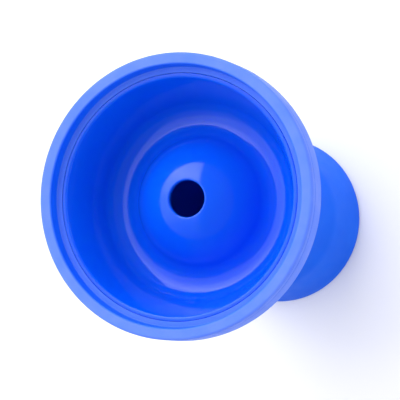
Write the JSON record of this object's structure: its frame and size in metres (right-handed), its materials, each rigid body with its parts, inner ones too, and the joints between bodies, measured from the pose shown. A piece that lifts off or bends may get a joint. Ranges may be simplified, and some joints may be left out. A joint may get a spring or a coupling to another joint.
{
  "type": "water pipe bowl",
  "caption": "Silicone bowl for a water pipe: stepped round mouth, lift-out inner bowl with a raised dome and smoke hole, waist, and flared foot with a stem socket.",
  "frame": {"origin": "centre of the foot's flat end face, the lowest point of the upright bowl", "axes": "+Z along the axis of revolution from the foot to the mouth; X and Y are free, as the bowl is round"},
  "size_m": [0.08, 0.08, 0.1],
  "materials": {
    "body_silicone": "satin moulded silicone",
    "bowl_gloss": "polished, glossy silicone"
  },
  "bodies": {
    "body": {"outer_body": "body_silicone"},
    "bowl": {"inner_bowl": "bowl_gloss"}
  },
  "joints": [
    {"name": "bowl_lift", "type": "slide", "parent": "body", "child": "bowl", "axis": [0, 0, 1], "range_m": [0, 0.04]}
  ]
}
